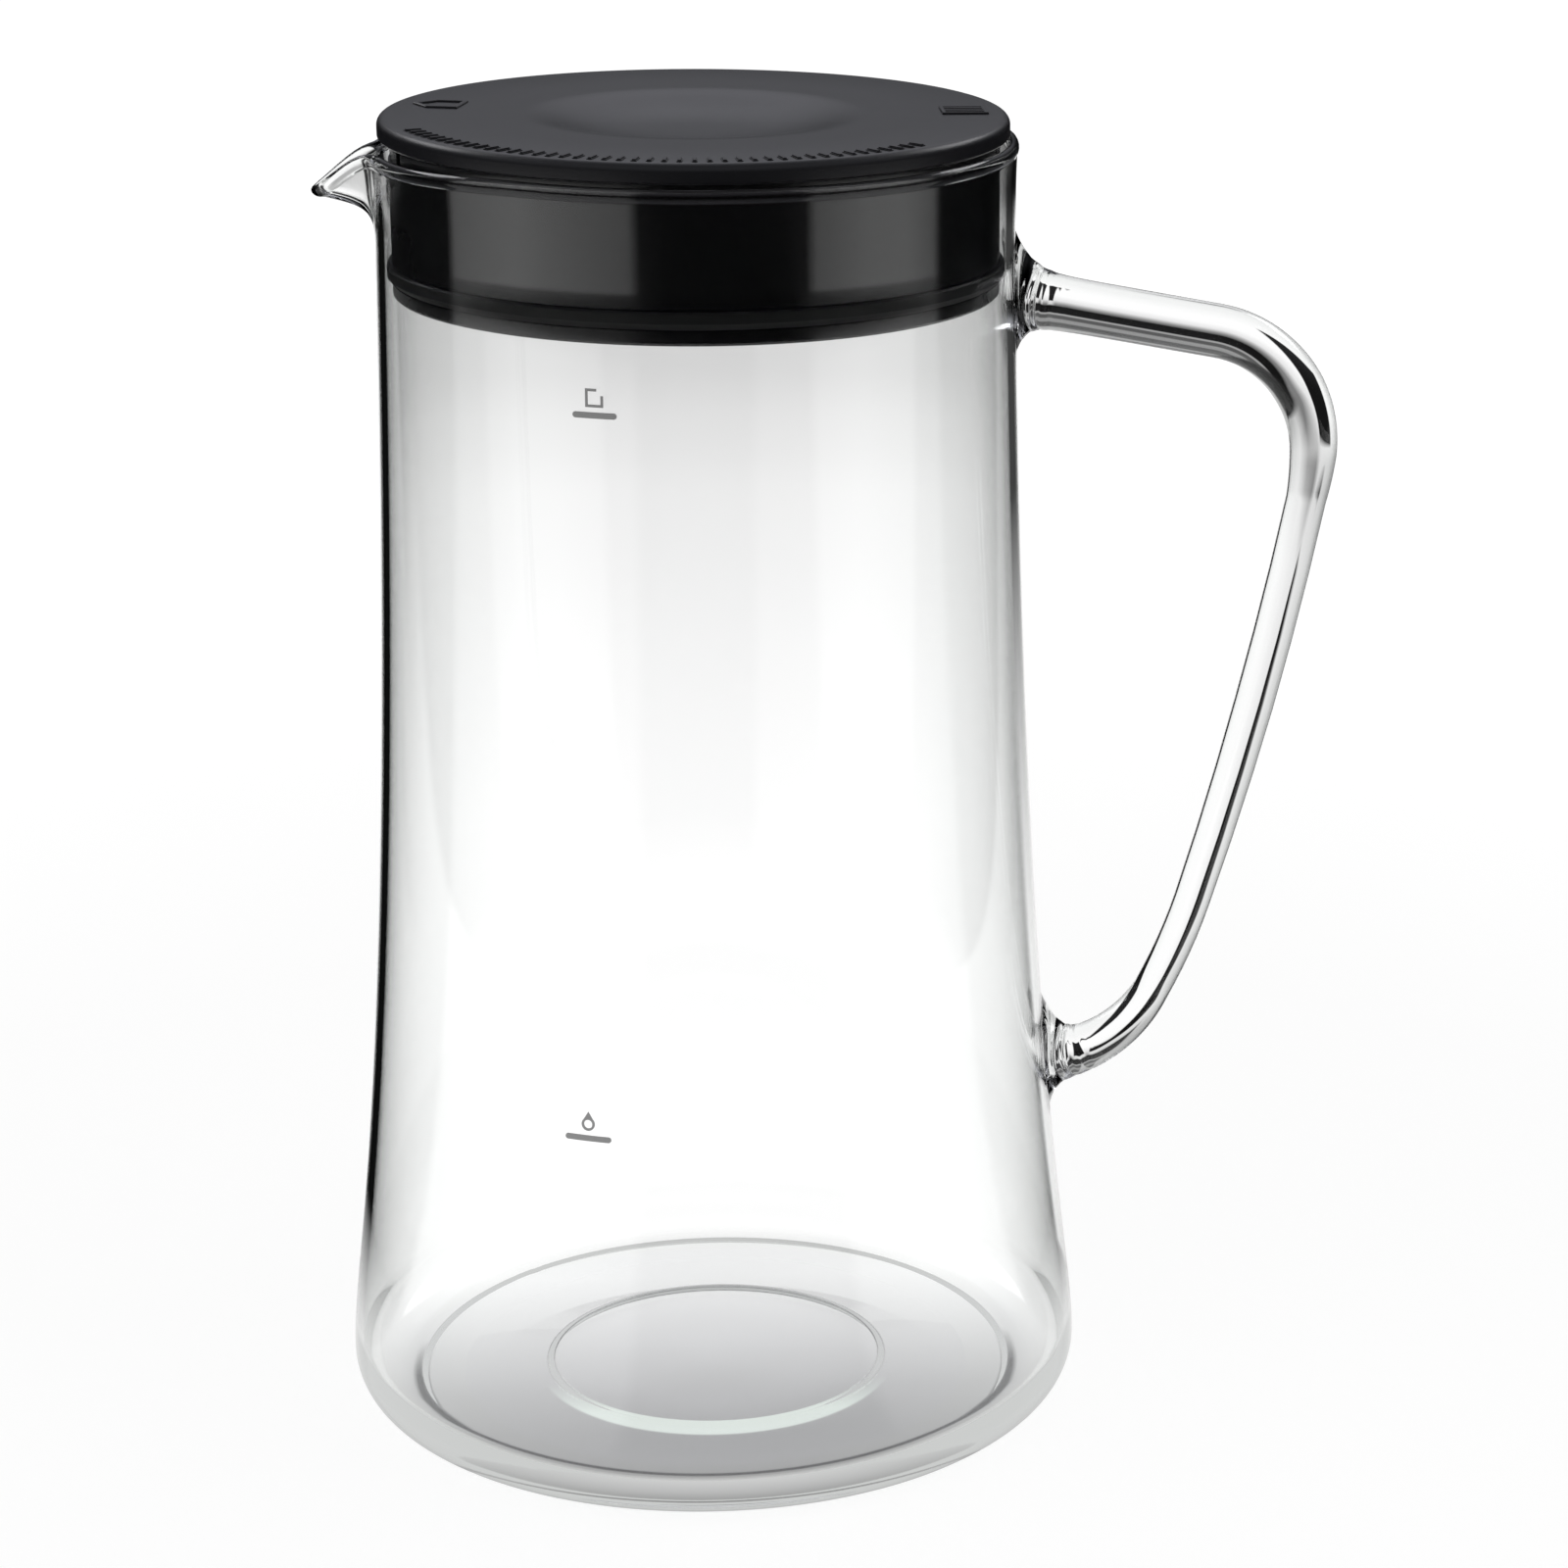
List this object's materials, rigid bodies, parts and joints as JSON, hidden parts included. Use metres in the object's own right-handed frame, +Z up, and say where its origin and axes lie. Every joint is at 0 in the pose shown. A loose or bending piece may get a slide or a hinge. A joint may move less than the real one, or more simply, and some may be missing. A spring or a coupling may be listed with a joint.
{
  "type": "iced tea maker",
  "caption": "Clear blown-glass iced tea pitcher with a drawn-out spout, a fused glass rod handle and a turning, lift-off black lid with a strainer.",
  "frame": {"origin": "centre of the ring that the pitcher stands on, in the plane of the table", "axes": "+Z up along the axis of the glass body, +X towards the handle, -X towards the spout, +Y away from the side with the printed marks"},
  "size_m": [0.1892, 0.1414, 0.2479],
  "materials": {
    "glass": "clear, fire-polished",
    "lid_plastic": "satin",
    "seal_rubber": "matte silicone",
    "print": "thin grey ink on the glass"
  },
  "bodies": {
    "pitcher": {"glass_body": "glass", "spout": "glass", "glass_handle": "glass", "ice_line": "print", "ice_symbol": "print", "water_line": "print", "water_symbol": "print"},
    "seal": {"lid_seal": "seal_rubber"},
    "lid": {"lid_cover": "lid_plastic", "lid_skirt": "lid_plastic"}
  },
  "joints": [
    {"name": "lid_lift", "type": "slide", "parent": "pitcher", "child": "seal", "axis": [0, 0, 1], "range_m": [0, 0.08]},
    {"name": "lid_turn", "type": "hinge", "parent": "seal", "child": "lid", "pos_m": [0, 0, 0.225], "axis": [0, 0, 1], "continuous": true}
  ]
}
